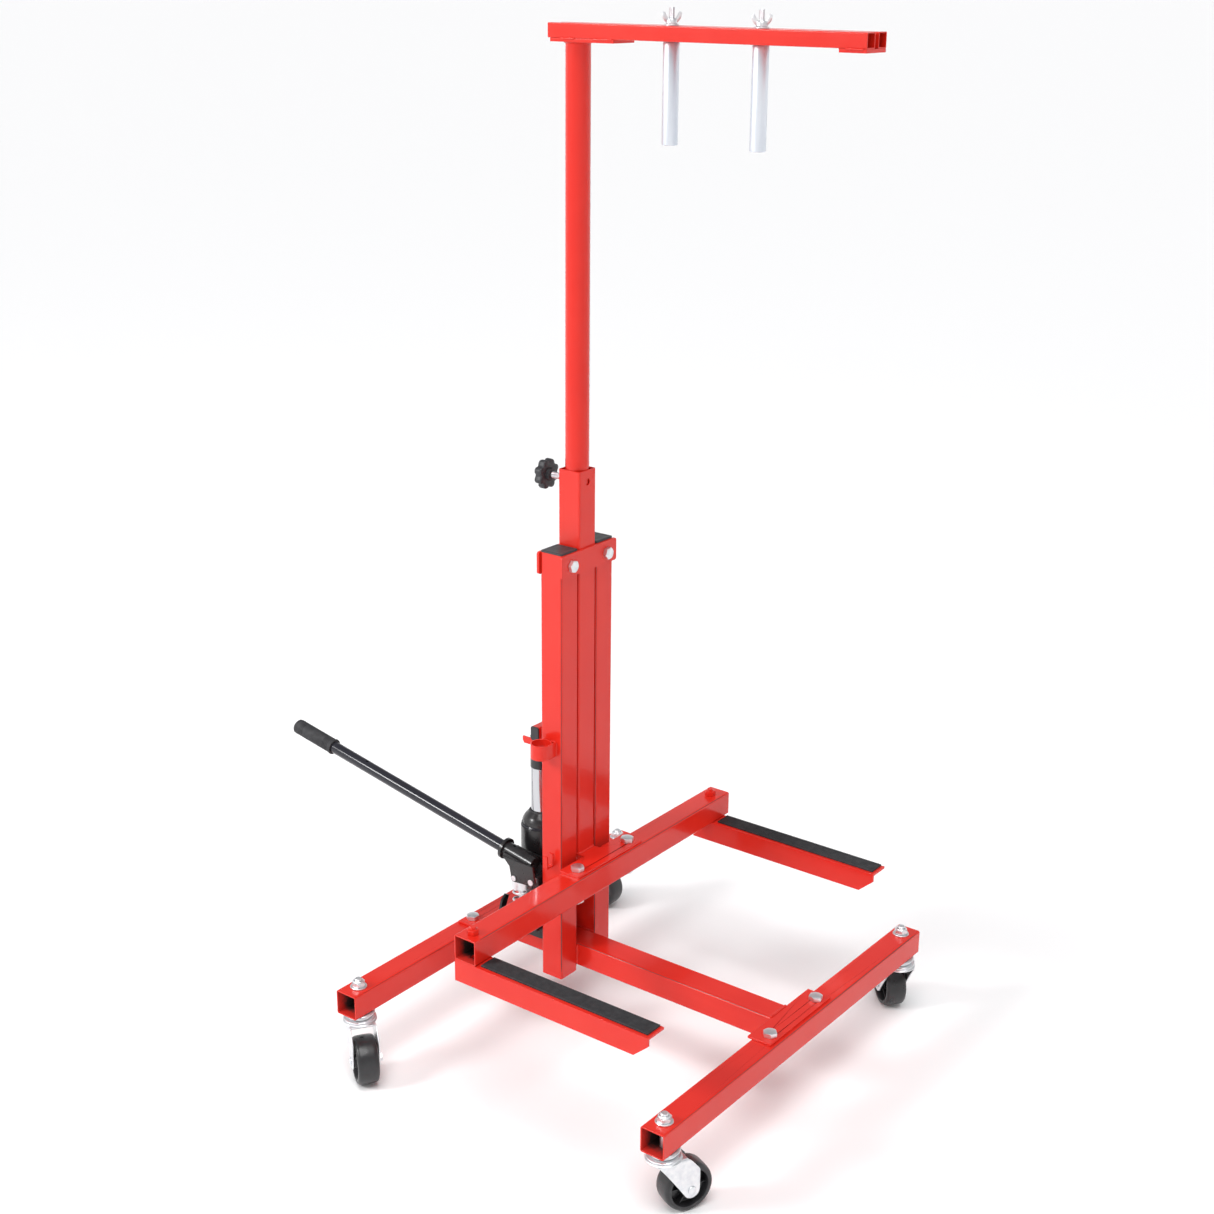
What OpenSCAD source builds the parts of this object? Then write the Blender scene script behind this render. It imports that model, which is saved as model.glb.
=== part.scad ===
// Hydraulic lift for car doors: an H-shaped base on four casters, a mast raised by a bottle jack,
// two padded fork arms that carry a door, and a telescopic post with a slotted top arm.
// Millimetres. +Z is up, the fork arms reach towards -Y, and the floor is at z = 0.
// Heights are above the floor. Plan positions are from the mast's axis, which placed() then moves
// so that the origin lies under the middle of the whole lift.

/* [Base] */
// Length of the two cross bars
bar_len = 720; // [600:10:900]
// Distance between the front bar and the mast
front_reach = 414; // [380:2:520]
// Distance between the mast and the rear bar
rear_reach = 166; // [160:2:240]
// Side of the square steel tube
tube = 40; // [38:1:42]
// Wall of the square steel tube
tube_wall = 2; // [1.5:0.1:3]
// Height of the top of the cross bars
bar_top = 146; // [136:1:160]
// Thickness of the joining plates
plate_t = 4; // [3:0.5:6]

/* [Column] */
// Clear width between the two uprights
column_gap = 46; // [44:1:50]
// Height of the top of the uprights
upright_top = 812; // [780:2:900]
// Height of the bottom of the uprights
upright_bottom = 101; // [96:1:108]
// Height of the top of the sliding mast
mast_top = 931; // [920:1:960]
// Height of the hole for the clamp screw
clamp_z = 913; // [905:1:920]

/* [Carriage] */
// Length of the lift bar
lift_bar_len = 660; // [560:10:760]
// Height of the top of the lift bar
lift_bar_top = 303.5; // [290:0.5:320]
// Distance from the mast's axis to the lift bar's axis
lift_bar_reach = 53; // [48:1:60]
// Length of the fork arms
fork_len = 350; // [300:5:420]
// Width of the fork arms
fork_w = 38; // [34:1:45]
// Height of the fork arms
fork_h = 35.5; // [30:0.5:45]

/* [Top arm] */
// Height of the top of the top arm
arm_top = 1565; // [1480:5:1650]
// Length of the top arm in front of the mast's axis
arm_reach = 470; // [430:5:520]
// Width of the slot between the two rails
arm_slot = 8.4; // [8.3:0.1:10]
// Diameter of the round post
post_d = 36; // [34:0.5:36]
// Length of the hanging pins
pin_len = 135; // [100:5:180]
// Diameter of the hanging pins
pin_d = 22; // [18:1:26]
// Distance from the mast's axis to the rear pin
rear_pin_reach = 158; // [150:1:170]
// Distance from the mast's axis to the front pin
front_pin_reach = 300; // [290:1:320]

/* [Jack] */
// Diameter of the jack's body
jack_d = 66; // [60:1:68]
// Diameter of the jack's ram
ram_d = 33; // [28:1:34]
// Diameter of the pump handle
handle_d = 20; // [17:0.5:20]
// Length of the pump handle
handle_len = 537; // [450:1:620]
// Angle of the pump handle above level
handle_pitch = 11; // [9:0.2:13]

/* [Casters] */
// Diameter of the wheels
wheel_d = 76; // [70:1:80]
// Width of the wheels
wheel_w = 34; // [28:1:36]
// Distance from the swivel's axis to the wheel's axle
caster_trail = 34; // [30:1:38]
// Directions of the wheels: front left, front right, rear left, rear right
caster_turn = [-25, 50, 235, 90]; // [-360:5:360]

/* [Hidden] */
$fn = 48;

red = [0.78, 0.06, 0.05];
black = [0.06, 0.06, 0.07];
rubber = [0.09, 0.09, 0.09];
zinc = [0.78, 0.79, 0.80];
chrome = [0.86, 0.87, 0.88];

corner_r = 3;             // outside corner of the square tube
fit = 0.06;               // radial clearance of a running fit
loose = 0.3;              // clearance of parts that only pass one another
bolt_r = 6;               // M12 bolts of the frame
bolt_af = 19;             // spanner size of the M12 bolts
strap_bolt_r = 5;         // M10 bolts of the straps
strap_bolt_af = 17;       // spanner size of the M10 bolts

// Base
beam_top = bar_top + plate_t;
bar_bottom = bar_top - tube;
stem_inset = 28;          // from a bar's end to the caster's stem
stem_x = bar_len / 2 - stem_inset;
t_plate_w = 170;
t_bolt_x = 64.5;          // T-plate and lift plate bolts, from the middle
plate_shift = 6;          // how far a T-plate stands inwards of its bar

// Column
upright_x = (column_gap + tube) / 2;
upright_face_x = upright_x + tube / 2;
strap_w = 134;
strap_h = 35;
strap_z = upright_top - strap_h;
strap_bolt_z = strap_z + 16;

// Carriage
lift_bar_y = -lift_bar_reach;
lift_bar_bottom = lift_bar_top - tube;
mast_bottom = lift_bar_top + plate_t;
mast_wall = 1.5;
left_fork_x = -lift_bar_len / 2;            // outer face of the left arm's web
right_fork_x = lift_bar_len / 2 - 47;       // outer face of the right arm's web
fork_back_y = lift_bar_y + tube / 2;
fork_front_y = fork_back_y - fork_len;
fork_t = 4;
pad_w = 30;
pad_front_y = fork_front_y + 5;
pad_t = 3;
fork_nut_af = 16;

// Jack
jack_y = 72;
base_top = 187;
body_top = 327;
nut_top = 352;
saddle_z = 428;
bracket_z = 480;
bracket_h = 23;
crossbar_d = 16;
crossbar_y = 67;
piston_r = 20;
piston_z = 233;
jack_floor_z = 165;       // bottom of the pressure chamber
pump_floor_z = 160;
pump_x = -57;             // plane of the pump, its lever and its handle
pump_y = 66;
pump_r = 5.5;
pump_top = 204;
fulcrum_y = 30.5;
fulcrum_z = 264.5;
lever_r = 34.8;           // fulcrum to roller
lever_rise = -4.8;        // angle of the roller above the fulcrum, handle up
roller_r = 6;
roller_y = fulcrum_y + lever_r * cos(lever_rise);
roller_z = fulcrum_z + lever_r * sin(lever_rise);
pin_r = 4;
pin_in_roller_r = 3.5;
cap_top = roller_z - roller_r - 0.4;
cap_h = 17;
cap_r = 15.8;
cheek_in = 16.3;          // inner face of the lever's cheeks, from the pump's plane
cheek_t = 4;
socket_r = 13;
socket_len = 60;
handle_y = 42.6;          // root of the handle
handle_z = 285.1;
handle_end_y = handle_y + handle_len * cos(handle_pitch);
grip_r = 12.8;
grip_len = 90;
spring_seat_z = 190;
valve_y = 78;
valve_z = 169;

// Post and top arm
post_top = arm_top - 20 - 5;
post_bottom = 683;
post_wall = 2;
rail = 20;
rail_wall = 1.5;
rail_x = (arm_slot + rail) / 2;
arm_w = 2 * rail + arm_slot;
arm_back_y = 35;
stud_r = 4;
stud_over = 24;           // stud above the top of the arm
washer_t = 1.6;

// Casters
axle_z = wheel_d / 2;
race_r = 27;
caster_places = [
    [-stem_x, -front_reach], [stem_x, -front_reach], [-stem_x, rear_reach], [stem_x, rear_reach]
];

// How far the wheels reach along x and y
wheel_out = caster_trail + wheel_d / 2;
wheels_x = [for (i = [0:3], side = [-1, 1]) caster_places[i][0]
    + wheel_out * cos(caster_turn[i]) + side * wheel_w / 2 * abs(sin(caster_turn[i]))];
wheels_y = [for (i = [0:3], side = [-1, 1]) caster_places[i][1]
    + wheel_out * sin(caster_turn[i]) + side * wheel_w / 2 * abs(cos(caster_turn[i]))];

// The origin is under the middle of the whole lift, so the mast's axis stands here
grip_edge = 2;
handle_reach = handle_end_y + (grip_r - grip_edge) * sin(handle_pitch);
mast_x = -(min([-bar_len / 2, min(wheels_x)]) + max([bar_len / 2, max(wheels_x)])) / 2;
mast_y = -(min([-arm_reach, min(wheels_y)]) + max([handle_reach, max(wheels_y)])) / 2;

module placed() {
    translate([mast_x, mast_y, 0]) children();
}

// ---- shapes used by several parts ----

module rounded_square(w, d, r) {
    square([w - 2 * r, d], center = true);
    square([w, d - 2 * r], center = true);
    for (x = [-1, 1], y = [-1, 1])
        translate([x * (w / 2 - r), y * (d / 2 - r)]) circle(r);
}

module tube_section(w, d, wall, r) {
    difference() {
        rounded_square(w, d, r);
        square([w - 2 * wall, d - 2 * wall], center = true);
    }
}

module tube_z(w, d, h, wall = tube_wall, r = corner_r) {
    linear_extrude(h) tube_section(w, d, wall, r);
}

module tube_x(l, d = tube, h = tube, wall = tube_wall, r = corner_r) {
    rotate([90, 0, 90]) linear_extrude(l, center = true) tube_section(d, h, wall, r);
}

module tube_y(l, w = tube, h = tube, wall = tube_wall, r = corner_r) {
    rotate([90, 0, 0]) linear_extrude(l, center = true) tube_section(w, h, wall, r);
}

module hexagon(af, h) {
    intersection() {
        cylinder(h = h, d = af / cos(30), $fn = 6);
        cylinder(h = h, d = af * 1.1);
    }
}

// Hex bolt pointing down from z = 0 under its head, with a nut at the far end
module bolt_and_nut(r, af, grip, head_h, nut_h) {
    hexagon(af, head_h);
    translate([0, 0, -grip - nut_h - 3]) cylinder(h = grip + nut_h + 3, r = r - 0.1);
    translate([0, 0, -grip - nut_h]) nut(r, af, nut_h);
}

module nut(r, af, h) {
    difference() {
        hexagon(af, h);
        translate([0, 0, -1]) cylinder(h = h + 2, r = r);
    }
}

// ---- base ----

module cross_bar(y) {
    difference() {
        translate([0, y, bar_top - tube / 2]) tube_x(bar_len);
        for (x = [-t_bolt_x, t_bolt_x, -stem_x, stem_x])
            translate([x, y, bar_bottom - 1]) cylinder(h = tube + 2, r = bolt_r + 0.2);
    }
}

module front_cross_bar() {
    color(red) placed() cross_bar(-front_reach);
}

module rear_cross_bar() {
    color(red) placed() cross_bar(rear_reach);
}

module t_plate_blank() {
    for (end = [[-front_reach, 1], [rear_reach, -1]])
        translate([0, end[0] + end[1] * plate_shift, bar_top])
            linear_extrude(plate_t) square([t_plate_w, tube], center = true);
}

module t_plates() {
    color(red) placed() difference() {
        t_plate_blank();
        for (x = [-t_bolt_x, t_bolt_x], y = [-front_reach, rear_reach])
            translate([x, y, bar_top - 1]) cylinder(h = plate_t + 2, r = bolt_r + 0.2);
    }
}

module t_plate_bolts() {
    color(zinc) placed()
        for (x = [-t_bolt_x, t_bolt_x], y = [-front_reach, rear_reach])
            translate([x, y, beam_top]) bolt_and_nut(bolt_r, bolt_af, tube + plate_t, 7.5, 10);
}

module centre_beam() {
    beam_len = front_reach + rear_reach - tube;
    color(red) placed() difference() {
        translate([0, (rear_reach - front_reach) / 2, beam_top - tube / 2])
            tube_y(beam_len, column_gap, tube);
        t_plate_blank();
    }
}

// ---- column ----

module upright(side) {
    difference() {
        translate([side * upright_x, 0, upright_bottom])
            tube_z(tube, tube, upright_top - upright_bottom);
        translate([side * upright_x, 0, strap_bolt_z]) rotate([90, 0, 0])
            cylinder(h = tube + 2, r = strap_bolt_r + 0.2, center = true);
    }
}

module left_upright() {
    color(red) placed() upright(-1);
}

module right_upright() {
    color(red) placed() upright(1);
}

module upright_caps() {
    inside = tube - 2 * tube_wall - 0.2;
    color(black) placed() for (side = [-1, 1])
        translate([side * upright_x, 0, upright_top]) {
            linear_extrude(3) rounded_square(tube, tube, corner_r);
            translate([0, 0, -7]) linear_extrude(7)
                tube_section(inside, inside, 2.5, corner_r);
        }
}

module strap(y) {
    difference() {
        translate([0, y, strap_z + strap_h / 2]) rotate([90, 0, 0])
            linear_extrude(plate_t, center = true) rounded_square(strap_w, strap_h, 4);
        for (side = [-1, 1])
            translate([side * upright_x, y, strap_bolt_z]) rotate([90, 0, 0])
                cylinder(h = plate_t + 2, r = strap_bolt_r + 0.2, center = true);
    }
}

module front_strap() {
    color(red) placed() strap(-(tube + plate_t) / 2);
}

module rear_strap() {
    color(red) placed() strap((tube + plate_t) / 2);
}

module strap_bolts() {
    color(zinc) placed() for (side = [-1, 1])
        translate([side * upright_x, -tube / 2 - plate_t, strap_bolt_z]) rotate([90, 0, 0])
            bolt_and_nut(strap_bolt_r, strap_bolt_af, tube + 2 * plate_t, 6.5, 8);
}

// Ring of bent strip on the left upright, in which the pump handle is parked
ring_r = 16.5;
ring_t = 2;
ring_z = 488;
ring_h = 24;
ring_x = -80.5;
ring_y = 6;

module ring_outline() {
    tab = -upright_face_x - ring_x;
    difference() {
        circle(ring_r);
        circle(ring_r - ring_t);
    }
    translate([0, -ring_r]) square([tab, ring_t]);
    translate([tab - ring_t, -ring_r]) square([ring_t, 12]);
}

module handle_ring() {
    color(red) placed() translate([ring_x, ring_y, ring_z])
        linear_extrude(ring_h) ring_outline();
}

// Bent strip under the ring, which carries the rim of the parked handle
hook_z = 298;
hook_w = 8;
hook_out = 16;
hook_h = 22;
hook_t = 2.5;

module handle_hook() {
    color(red) placed() translate([-upright_face_x, 0, hook_z]) rotate([90, 0, 180])
        linear_extrude(hook_w, center = true) difference() {
            square([hook_out, hook_h]);
            translate([hook_t, hook_t]) square([hook_out - 2 * hook_t, hook_h]);
        }
}

// ---- casters ----

module at_caster(i) {
    placed() translate([caster_places[i][0], caster_places[i][1], 0])
        rotate([0, 0, caster_turn[i]]) children();
}

race_h = 4;
fork_top_z = bar_bottom - race_h - 6;

module caster_stems() {
    color(zinc) for (i = [0:3]) at_caster(i) {
        translate([0, 0, bar_bottom - race_h]) cylinder(h = race_h, r = race_r - 3);
        translate([0, 0, bar_bottom - race_h - 5]) cylinder(h = 5.5, r = race_r - 7);
        translate([0, 0, bar_bottom - 26]) cylinder(h = 26 + tube + 15, r = bolt_r);
        translate([0, 0, bar_top]) difference() {
            union() {
                cylinder(h = 2.5, r = 13);
                hexagon(bolt_af, 12);
            }
            translate([0, 0, -1]) cylinder(h = 20, r = bolt_r + 0.2);
        }
    }
}

module leg_outline() {
    difference() {
        union() {
            polygon([
                [-25, fork_top_z - 3], [25, fork_top_z - 3],
                [caster_trail + 13, fork_top_z - 27], [caster_trail + 13, axle_z],
                [caster_trail - 9, axle_z - 9.4]
            ]);
            translate([caster_trail, axle_z]) circle(13);
        }
        translate([caster_trail, axle_z]) circle(4 + fit / 2);
    }
}

// Fork with its two legs, and the lower race round the stem
module caster_fork(i) {
    leg_in = wheel_w / 2 + 2;
    color(zinc) at_caster(i) {
        difference() {
            union() {
                translate([0, 0, fork_top_z - 5]) cylinder(h = 4, r = race_r - 1);
                translate([0, 0, fork_top_z - 5]) cylinder(h = 5.7, r = race_r - 3);
                translate([-race_r + 8, -leg_in - 2.5, fork_top_z - 5])
                    cube([44, 2 * leg_in + 5, 2.5]);
            }
            translate([0, 0, fork_top_z - 20]) cylinder(h = 40, r = bolt_r + fit);
        }
        for (side = [-1, 1])
            translate([0, side * (leg_in + 1.25), 0]) rotate([90, 0, 0])
                linear_extrude(2.5, center = true) leg_outline();
    }
}

module caster_axle(i) {
    half = wheel_w / 2 + 4.5;
    color(zinc) at_caster(i) translate([caster_trail, 0, axle_z]) rotate([90, 0, 0]) {
        translate([0, 0, -half - 5]) cylinder(h = 2 * half + 5, r = 4);
        translate([0, 0, half]) cylinder(h = 3, r = 6.5);
        translate([0, 0, -half - 5]) hexagon(12, 5);
    }
}

module caster_wheel(i) {
    half = wheel_w / 2;
    rim = wheel_d / 2;
    color(black) at_caster(i) translate([caster_trail, 0, axle_z]) rotate([90, 0, 0])
        rotate_extrude() {
            translate([4 + fit, -3.5]) square([rim - 8 - 4, 7]);
            translate([4 + fit, -half - 1]) square([6.5, 2 * half + 2]);
            translate([rim - 9, -half]) square([6, 2 * half]);
            translate([rim - 5, -half + 3]) square([5, 2 * half - 6]);
            for (z = [-half + 3, half - 3]) translate([rim - 3, z]) circle(3);
        }
}

module front_left_fork() { caster_fork(0); }
module front_left_axle() { caster_axle(0); }
module front_left_wheel() { caster_wheel(0); }
module front_right_fork() { caster_fork(1); }
module front_right_axle() { caster_axle(1); }
module front_right_wheel() { caster_wheel(1); }
module rear_left_fork() { caster_fork(2); }
module rear_left_axle() { caster_axle(2); }
module rear_left_wheel() { caster_wheel(2); }
module rear_right_fork() { caster_fork(3); }
module rear_right_axle() { caster_axle(3); }
module rear_right_wheel() { caster_wheel(3); }

// ---- bottle jack ----

module at_jack() {
    placed() translate([0, jack_y, 0]) children();
}

module at_pump() {
    placed() translate([pump_x, pump_y, 0]) children();
}

// Along a pin of the lever: z runs along +x through the pump's plane
module on_pin(y, z) {
    placed() translate([pump_x, y, z]) rotate([0, 90, 0]) children();
}

// Reservoir foot, and beside it the pump's block with the fulcrum's lug
module jack_base() {
    lug_w = 18;
    lug_r = 6;
    block_h = 11;
    boss_z = 158;
    color(black) difference() {
        union() {
            placed() translate([-1, 68, beam_top]) linear_extrude(base_top - beam_top)
                rounded_square(94, 80, 10);
            placed() translate([pump_x, 58, base_top - block_h]) linear_extrude(block_h)
                rounded_square(36, 67, 6);
            at_pump() translate([0, 0, boss_z]) cylinder(h = spring_seat_z - boss_z, r = 17);
            placed() translate([pump_x, pump_y, valve_z]) rotate([-90, 0, 0])
                cylinder(h = 26, r = 9);
            placed() translate([pump_x - lug_w / 2, fulcrum_y - lug_r, base_top - 1])
                cube([lug_w, 2 * lug_r, fulcrum_z - base_top + 1]);
            on_pin(fulcrum_y, fulcrum_z) cylinder(h = lug_w, r = lug_r, center = true);
        }
        at_jack() translate([0, 0, jack_floor_z]) cylinder(h = 60, r = piston_r + 4);
        at_pump() translate([0, 0, pump_floor_z]) cylinder(h = 60, r = 9);
        on_pin(fulcrum_y, fulcrum_z) cylinder(h = 40, r = pin_r, center = true);
        placed() translate([pump_x, valve_y, valve_z]) rotate([-90, 0, 0])
            cylinder(h = 20, r = 5 + fit);
    }
}

module jack_body() {
    color(black) at_jack() difference() {
        translate([0, 0, base_top]) cylinder(h = body_top - base_top, d = jack_d);
        translate([0, 0, base_top - 1])
            cylinder(h = body_top - base_top + 2, d = jack_d - 6);
    }
}

module jack_cylinder() {
    color(zinc) at_jack() difference() {
        translate([0, 0, jack_floor_z]) cylinder(h = body_top - jack_floor_z, r = piston_r + 4);
        translate([0, 0, jack_floor_z + 2]) cylinder(h = 200, r = piston_r + fit);
    }
}

module jack_top_nut() {
    color(black) at_jack() translate([0, 0, body_top]) difference() {
        union() {
            cylinder(h = 4, d = jack_d - 3);
            cylinder(h = 9, r = 30.5);
            translate([0, 0, 9]) cylinder(h = 7, r1 = 30.5, r2 = 27);
            translate([0, 0, 16]) cylinder(h = nut_top - body_top - 16, r1 = 27, r2 = 19);
        }
        translate([0, 0, -1]) cylinder(h = 60, d = ram_d + 2 * fit);
    }
}

module jack_ram() {
    color(chrome) at_jack() {
        translate([0, 0, piston_z]) cylinder(h = 20, r = piston_r);
        translate([0, 0, piston_z]) cylinder(h = saddle_z - piston_z, d = ram_d);
    }
}

module jack_saddle() {
    color(black) at_jack() difference() {
        translate([0, 0, saddle_z]) cylinder(h = bracket_z - saddle_z - 0.2, d = ram_d + 1);
        translate([0, 0, bracket_z - 4]) for (turn = [0, 90]) rotate([0, 0, turn])
            translate([-30, -2, 0]) cube([60, 4, 10]);
    }
}

module pump_cylinder() {
    color(zinc) at_pump() difference() {
        translate([0, 0, pump_floor_z]) cylinder(h = pump_top - pump_floor_z, r = 9);
        translate([0, 0, pump_floor_z + 3]) cylinder(h = 60, r = pump_r + fit);
    }
}

module pump_plunger() {
    stem = 54;
    bevel = 1.5;
    color(zinc) at_pump() {
        translate([0, 0, cap_top - cap_h - stem]) cylinder(h = stem + 2, r = pump_r);
        translate([0, 0, cap_top - cap_h]) cylinder(h = cap_h - bevel, r = cap_r);
        translate([0, 0, cap_top - bevel])
            cylinder(h = bevel, r1 = cap_r, r2 = cap_r - bevel);
    }
}

spring_r = 13.9;
wire_r = 1.6;
spring_turns = 4.5;

// Helical wire between the seat and the plunger's cap
module pump_spring() {
    low = spring_seat_z + wire_r + 0.1;
    high = cap_top - cap_h - wire_r - 0.1;
    steps = 90;
    sides = 8;
    points = [for (i = [0:steps], j = [0:sides - 1])
        let(turn = 360 * spring_turns * i / steps, a = 360 * j / sides,
            r = spring_r + wire_r * cos(a))
        [r * cos(turn), r * sin(turn), low + (high - low) * i / steps + wire_r * sin(a)]];
    walls = [for (i = [0:steps - 1], j = [0:sides - 1])
        let(k = (j + 1) % sides)
        [i * sides + j, (i + 1) * sides + j, (i + 1) * sides + k, i * sides + k]];
    ends = [
        [for (j = [0:sides - 1]) j],
        [for (j = [sides - 1:-1:0]) steps * sides + j]
    ];
    color(zinc) at_pump() polyhedron(points = points, faces = concat(walls, ends));
}

pin_half = cheek_in + cheek_t + 1;

module pin_heads(r) {
    for (end = [0, 1]) mirror([0, 0, end]) translate([0, 0, pin_half - 0.5])
        cylinder(h = 1.5, r = r);
}

module fulcrum_pin() {
    color(zinc) on_pin(fulcrum_y, fulcrum_z) {
        cylinder(h = 2 * pin_half, r = pin_r, center = true);
        pin_heads(5);
    }
}

// Along the handle: z runs outwards from the handle's root
module on_handle() {
    placed() translate([pump_x, handle_y, handle_z])
        rotate([handle_pitch - 90, 0, 0]) children();
}

// Seen from the right, with y to the right and z up
module cheek_outline() {
    translate([fulcrum_y, fulcrum_z]) circle(7);
    translate([roller_y, roller_z]) circle(7);
    polygon([
        [fulcrum_y - 6.8, fulcrum_z + 1.5], [28, 291], [90, 293], [82, 286.5], [75, 279.5],
        [roller_y + 6.7, roller_z + 2], [roller_y, roller_z - 7], [fulcrum_y, fulcrum_z - 7]
    ]);
}

// Cast lever: handle socket on top, two cheeks down to the pins
module handle_socket() {
    color(black) difference() {
        union() {
            on_handle() translate([0, 0, -3]) cylinder(h = socket_len + 3, r = socket_r);
            on_handle() translate([0, 0, socket_len - 5]) cylinder(h = 5, r = socket_r + 4.5);
            for (side = [-1, 1])
                placed() translate([pump_x + side * (cheek_in + cheek_t / 2), 0, 0])
                    rotate([90, 0, 90]) linear_extrude(cheek_t, center = true) cheek_outline();
            on_handle() translate([-cheek_in - 1, -4, 2])
                cube([2 * cheek_in + 2, 10, socket_len - 14]);
        }
        on_handle() cylinder(h = socket_len + 1, d = handle_d + 0.2);
        on_pin(fulcrum_y, fulcrum_z) cylinder(h = 60, r = pin_r + fit, center = true);
        on_pin(roller_y, roller_z) cylinder(h = 60, r = pin_in_roller_r, center = true);
        on_handle() translate([0, 0, socket_len - 19]) rotate([90, 0, 0])
            cylinder(h = 40, r = 2.5);
    }
}

module roller_pin() {
    color(zinc) on_pin(roller_y, roller_z) {
        cylinder(h = 2 * pin_half, r = pin_in_roller_r, center = true);
        cylinder(h = 2 * cheek_in - 2, r = roller_r, center = true);
        pin_heads(4.5);
    }
}

// Valve stem out of the boss behind the pump, with its lever plate
module release_valve() {
    stem = 38;
    color(black) placed() translate([pump_x, valve_y + 1, valve_z]) {
        rotate([-90, 0, 0]) cylinder(h = stem, r = 5);
        translate([0, 14, 0]) rotate([-90, 0, 0]) cylinder(h = 8, r = 8);
        translate([0, stem - 2, 0]) rotate([90, 0, 0]) linear_extrude(4)
            polygon([[-6, -4], [4, -5], [21, 31], [14, 35], [4, 27]]);
    }
}

module jack_handle() {
    color(black) on_handle() difference() {
        cylinder(h = handle_len - 4, d = handle_d);
        translate([0, 0, -1]) cylinder(h = handle_len, d = handle_d - 3);
        translate([0, 0, handle_len - 167]) rotate([90, 0, 0])
            cylinder(h = 40, r = 2.5, center = true);
    }
}

module handle_grip() {
    color(rubber) on_handle() difference() {
        union() {
            translate([0, 0, handle_len - grip_len])
                cylinder(h = grip_len - grip_edge, r = grip_r);
            translate([0, 0, handle_len - grip_edge - 0.01])
                cylinder(h = grip_edge + 0.01, r1 = grip_r, r2 = grip_r - grip_edge);
            translate([0, 0, handle_len - grip_len]) cylinder(h = 3, r = grip_r + 0.8);
        }
        translate([0, 0, handle_len - grip_len - 1])
            cylinder(h = grip_len + 1 - 4, d = handle_d);
    }
}

// ---- carriage ----

module mast_tube() {
    color(red) placed() {
        difference() {
            translate([0, 0, mast_bottom])
                tube_z(tube, tube, mast_top - mast_bottom, mast_wall);
            translate([0, 0, clamp_z]) rotate([90, 0, 0])
                cylinder(h = tube + 2, r = 5 + fit, center = true);
        }
        translate([0, tube / 2, clamp_z]) rotate([-90, 0, 0]) nut(5 + fit, strap_bolt_af, 8);
    }
}

module lift_plate() {
    color(red) placed() translate([0, 0, lift_bar_top]) difference() {
        union() {
            translate([-82, lift_bar_y - 16, 0]) cube([164, 38, plate_t]);
            translate([-tube / 2, lift_bar_y, 0]) cube([tube, tube / 2 - lift_bar_y, plate_t]);
        }
        for (x = [-t_bolt_x, t_bolt_x])
            translate([x, lift_bar_y, -1]) cylinder(h = plate_t + 2, r = bolt_r + 0.2);
    }
}

module lift_plate_bolts() {
    color(zinc) placed() for (x = [-t_bolt_x, t_bolt_x])
        translate([x, lift_bar_y, lift_bar_top + plate_t])
            bolt_and_nut(bolt_r, bolt_af, tube + plate_t, 7.5, 10);
}

fork_bolt_x = [left_fork_x + 19, right_fork_x + 19];

module lift_bar() {
    color(red) placed() difference() {
        translate([0, lift_bar_y, lift_bar_top - tube / 2]) tube_x(lift_bar_len);
        for (x = [-t_bolt_x, t_bolt_x])
            translate([x, lift_bar_y, lift_bar_bottom - 1])
                cylinder(h = tube + 2, r = bolt_r + 0.2);
        for (x = fork_bolt_x)
            translate([x, lift_bar_y, lift_bar_bottom - 1]) cylinder(h = tube + 2, r = 5.2);
    }
}

// Steel angle: web on its left, cut off at the tip, and a flange on top
module fork_arm(x) {
    difference() {
        union() {
            translate([x, 0, 0]) rotate([90, 0, 90]) linear_extrude(fork_t) polygon([
                [fork_back_y, lift_bar_bottom], [fork_back_y, lift_bar_bottom - fork_h],
                [fork_front_y + 25, lift_bar_bottom - fork_h],
                [fork_front_y, lift_bar_bottom - fork_h + 22], [fork_front_y, lift_bar_bottom]
            ]);
            translate([x, fork_front_y, lift_bar_bottom - fork_t])
                cube([fork_w, fork_len, fork_t]);
        }
        translate([x + 19, lift_bar_y, lift_bar_bottom - 10]) cylinder(h = 20, r = 5.2);
    }
}

module left_fork_arm() {
    color(red) placed() fork_arm(left_fork_x);
}

module right_fork_arm() {
    color(red) placed() fork_arm(right_fork_x);
}

module fork_pads() {
    pad_back_y = lift_bar_y - tube / 2 - 5;
    color(rubber) placed() for (x = [left_fork_x, right_fork_x])
        translate([x + fork_w - pad_w - 2, pad_front_y, lift_bar_bottom])
            cube([pad_w, pad_back_y - pad_front_y, pad_t]);
}

module fork_arm_bolts() {
    color(red) placed() for (x = fork_bolt_x)
        translate([x, lift_bar_y, lift_bar_bottom - fork_t]) {
            translate([0, 0, -6]) hexagon(fork_nut_af, 6);
            cylinder(h = tube + fork_t + 12, r = 4.9);
            translate([0, 0, tube + fork_t]) nut(5.1, fork_nut_af, 8);
        }
}

// Tube across the back of the mast, which the saddle lifts, with an ear beside the saddle each side
module jack_bracket() {
    arm_len = crossbar_y - crossbar_d / 2 - tube / 2;
    ear_w = 2.4;
    color(red) placed() {
        translate([0, tube / 2 + arm_len / 2, bracket_z + bracket_h / 2])
            tube_y(arm_len, 30, bracket_h);
        translate([0, crossbar_y, bracket_z + bracket_h / 2])
            tube_x(tube, crossbar_d, bracket_h);
        for (side = [-1, 1])
            translate([side * (tube - ear_w) / 2, 0, 0]) rotate([90, 0, 90])
                linear_extrude(ear_w, center = true) polygon([
                    [62, bracket_z + 1.5], [93, bracket_z + 1.5], [93, bracket_z - 6],
                    [90, bracket_z - 10], [62, bracket_z - 10]
                ]);
    }
}

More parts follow.
